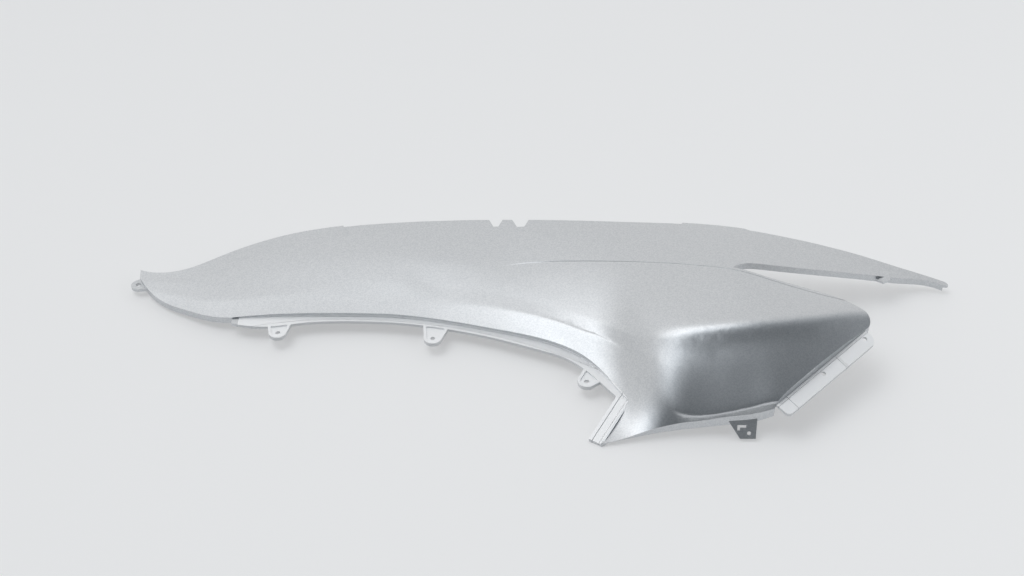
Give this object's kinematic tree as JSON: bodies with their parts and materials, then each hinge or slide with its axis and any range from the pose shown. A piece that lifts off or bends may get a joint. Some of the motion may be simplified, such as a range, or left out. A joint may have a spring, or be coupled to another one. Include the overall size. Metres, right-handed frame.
{
  "type": "scooter side panel",
  "caption": "Swept rear side panel of a scooter: thin painted shell with an arched ledge, screw tabs, a seat rebate, a drilled trailing flange and a slender tail finger.",
  "frame": {"origin": "centre, seen from above, of the box round the panel, at the level that it lies on", "axes": "+X from the front eyelet to the tail finger, +Y from the engine arch to the seat edge, +Z out of the painted face"},
  "size_m": [0.8126, 0.2875, 0.0799],
  "materials": {
    "silver_paint": "metallic silver paint under clear coat on moulded plastic"
  },
  "bodies": {
    "root": {"side_panel": "silver_paint"}
  },
  "joints": []
}
